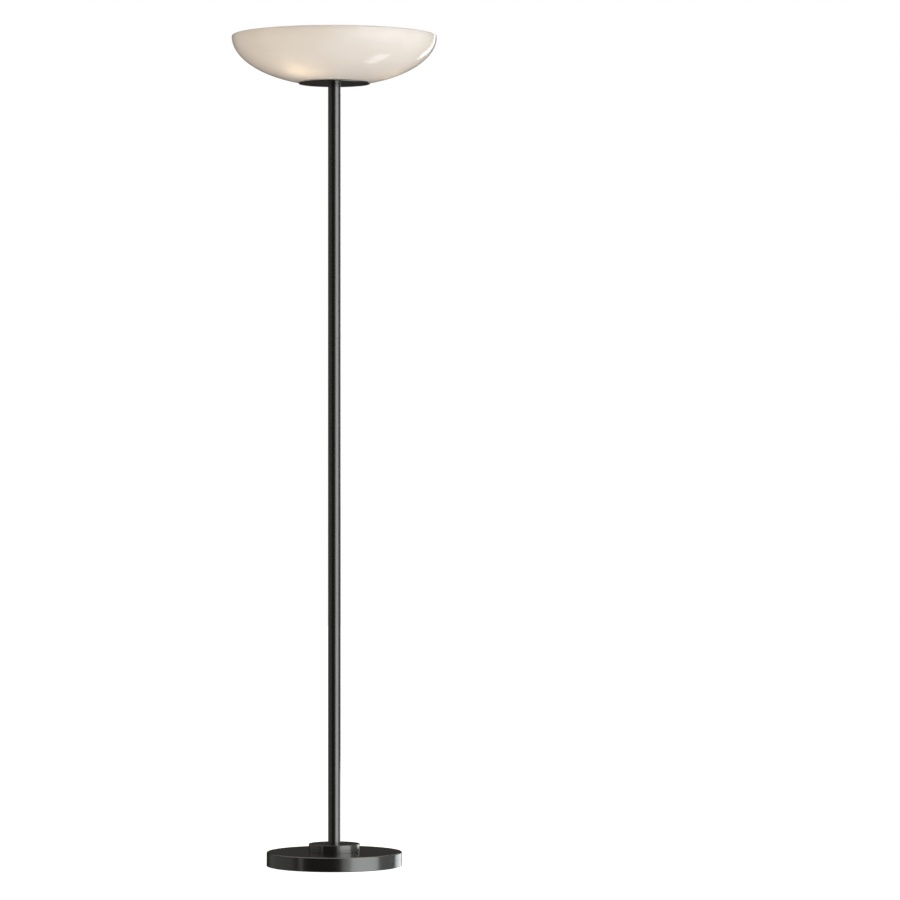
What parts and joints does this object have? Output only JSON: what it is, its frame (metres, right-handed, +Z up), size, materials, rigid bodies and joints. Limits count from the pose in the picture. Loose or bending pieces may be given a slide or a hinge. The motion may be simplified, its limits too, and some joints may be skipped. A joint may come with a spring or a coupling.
{
  "type": "torchiere floor lamp",
  "caption": "Torchiere floor lamp: open-topped glass bowl on a thin plate at the head of a slim round pole with a stepped round base; screw-in lamps splay out inside the bowl.",
  "frame": {"origin": "on the pole's axis, at the underside of the foot pad, where the lamp stands on the floor", "axes": "+Z up the pole; -Y to the front; +Y to the back, where the cord inlet is; +X to the right seen from the front"},
  "size_m": [0.457, 0.457, 1.8515],
  "materials": {
    "dark_finish": "satin black nickel plating on steel",
    "opal_glass": "glossy blown opal white glass, fire-polished rim",
    "cast_iron": "as cast",
    "zinc_steel": "zinc plated",
    "die_cast": "die cast, tumbled",
    "brass": "satin",
    "black_moulding": "moulded, fine matt",
    "lead_jacket": "extruded, satin",
    "silicone": "moulded, matt",
    "foam": "closed-cell foam sheet, matt",
    "lamp_metal": "nickel plated, rolled thread",
    "lamp_insulator": "vitreous black, with a tinned button",
    "lamp_white": "moulded white, satin",
    "lamp_diffuser": "frosted white diffuser"
  },
  "bodies": {
    "root": {"foot_pad": "foam", "closing_plate": "zinc_steel", "closing_plate_screws": "zinc_steel", "base_weight": "cast_iron", "base_cover": "dark_finish", "cord_gland": "black_moulding", "base_collar": "dark_finish", "base_nipple": "zinc_steel", "base_washer": "zinc_steel", "spring_washers": "zinc_steel", "lock_nuts": "zinc_steel", "pole_couplers": "zinc_steel", "pole_plugs": "zinc_steel", "pole_lower": "dark_finish", "pole_middle": "dark_finish", "pole_upper": "dark_finish", "inner_lead": "lead_jacket", "shade_plate": "dark_finish", "lower_gasket": "silicone", "glass_bowl": "opal_glass", "upper_gasket": "silicone", "clamp_ring": "zinc_steel", "shade_studs": "zinc_steel", "thumb_nuts": "brass", "head_nipple": "zinc_steel", "cluster_body": "die_cast", "cluster_lid": "die_cast", "cluster_finial": "die_cast", "splice_cap": "lead_jacket", "holder_leads": "lead_jacket", "holder_nipples": "zinc_steel", "holder_body_1": "black_moulding", "holder_liner_1": "brass", "holder_contact_1": "brass", "holder_body_2": "black_moulding", "holder_liner_2": "brass", "holder_contact_2": "brass", "holder_body_3": "black_moulding", "holder_liner_3": "brass", "holder_contact_3": "brass"},
    "lamp_foot_1": {"lamp_contact_1": "lamp_insulator"},
    "lamp_1": {"lamp_cap_1": "lamp_metal", "lamp_housing_1": "lamp_white", "lamp_globe_1": "lamp_diffuser", "lamp_board_1": "lamp_white"},
    "lamp_foot_2": {"lamp_contact_2": "lamp_insulator"},
    "lamp_2": {"lamp_cap_2": "lamp_metal", "lamp_housing_2": "lamp_white", "lamp_globe_2": "lamp_diffuser", "lamp_board_2": "lamp_white"},
    "lamp_foot_3": {"lamp_contact_3": "lamp_insulator"},
    "lamp_3": {"lamp_cap_3": "lamp_metal", "lamp_housing_3": "lamp_white", "lamp_globe_3": "lamp_diffuser", "lamp_board_3": "lamp_white"}
  },
  "joints": [
    {"name": "lamp_travel_1", "type": "slide", "parent": "root", "child": "lamp_foot_1", "axis": [0.9361, -0.0819, 0.342], "range_m": [0, 0.01815]},
    {"name": "lamp_turn_1", "type": "hinge", "parent": "lamp_foot_1", "child": "lamp_1", "pos_m": [0, 0, 1.7705], "axis": [0.9361, -0.0819, 0.342], "range_deg": [0, 1800]},
    {"name": "lamp_travel_2", "type": "slide", "parent": "root", "child": "lamp_foot_2", "axis": [-0.3971, 0.8517, 0.342], "range_m": [0, 0.01815]},
    {"name": "lamp_turn_2", "type": "hinge", "parent": "lamp_foot_2", "child": "lamp_2", "pos_m": [0, 0, 1.7705], "axis": [-0.3971, 0.8517, 0.342], "range_deg": [0, 1800]},
    {"name": "lamp_travel_3", "type": "slide", "parent": "root", "child": "lamp_foot_3", "axis": [-0.539, -0.7698, 0.342], "range_m": [0, 0.01815]},
    {"name": "lamp_turn_3", "type": "hinge", "parent": "lamp_foot_3", "child": "lamp_3", "pos_m": [0, 0, 1.7705], "axis": [-0.539, -0.7698, 0.342], "range_deg": [0, 1800]}
  ],
  "couplings": [
    {"joint": "lamp_turn_1", "follows": "lamp_travel_1", "rad_per_m": 1730.9},
    {"joint": "lamp_turn_2", "follows": "lamp_travel_2", "rad_per_m": 1730.9},
    {"joint": "lamp_turn_3", "follows": "lamp_travel_3", "rad_per_m": 1730.9}
  ]
}
